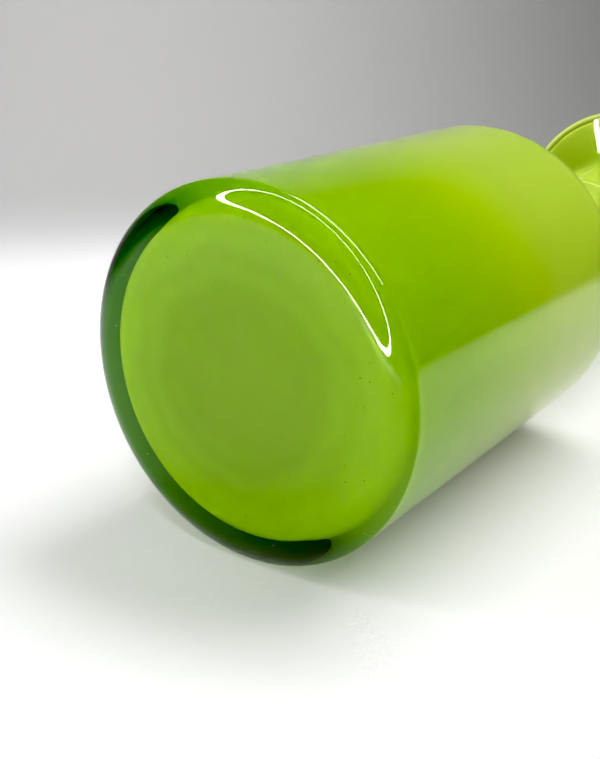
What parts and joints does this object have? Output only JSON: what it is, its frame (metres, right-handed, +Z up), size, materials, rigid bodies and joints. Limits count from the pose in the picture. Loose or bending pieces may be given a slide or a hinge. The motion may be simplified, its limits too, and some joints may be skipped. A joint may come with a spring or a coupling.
{
  "type": "glass bud vase",
  "caption": "Cased glass bottle vase: clear green glass fused over an opaque white lining, with a thick rounded heel, a slim neck and a flared rim.",
  "frame": {"origin": "centre of the base, on the plane that the vase stands on", "axes": "+Z up the vase's axis of revolution, towards the mouth; X and Y are any two level directions"},
  "size_m": [0.07, 0.07, 0.188],
  "materials": {
    "green_glass": "clear leaf-green soda glass, blown and fire-polished, high gloss, base ground and polished",
    "opal_glass": "opaque white opal glass, high gloss inside"
  },
  "bodies": {
    "root": {"green_casing": "green_glass", "opal_lining": "opal_glass"}
  },
  "joints": []
}
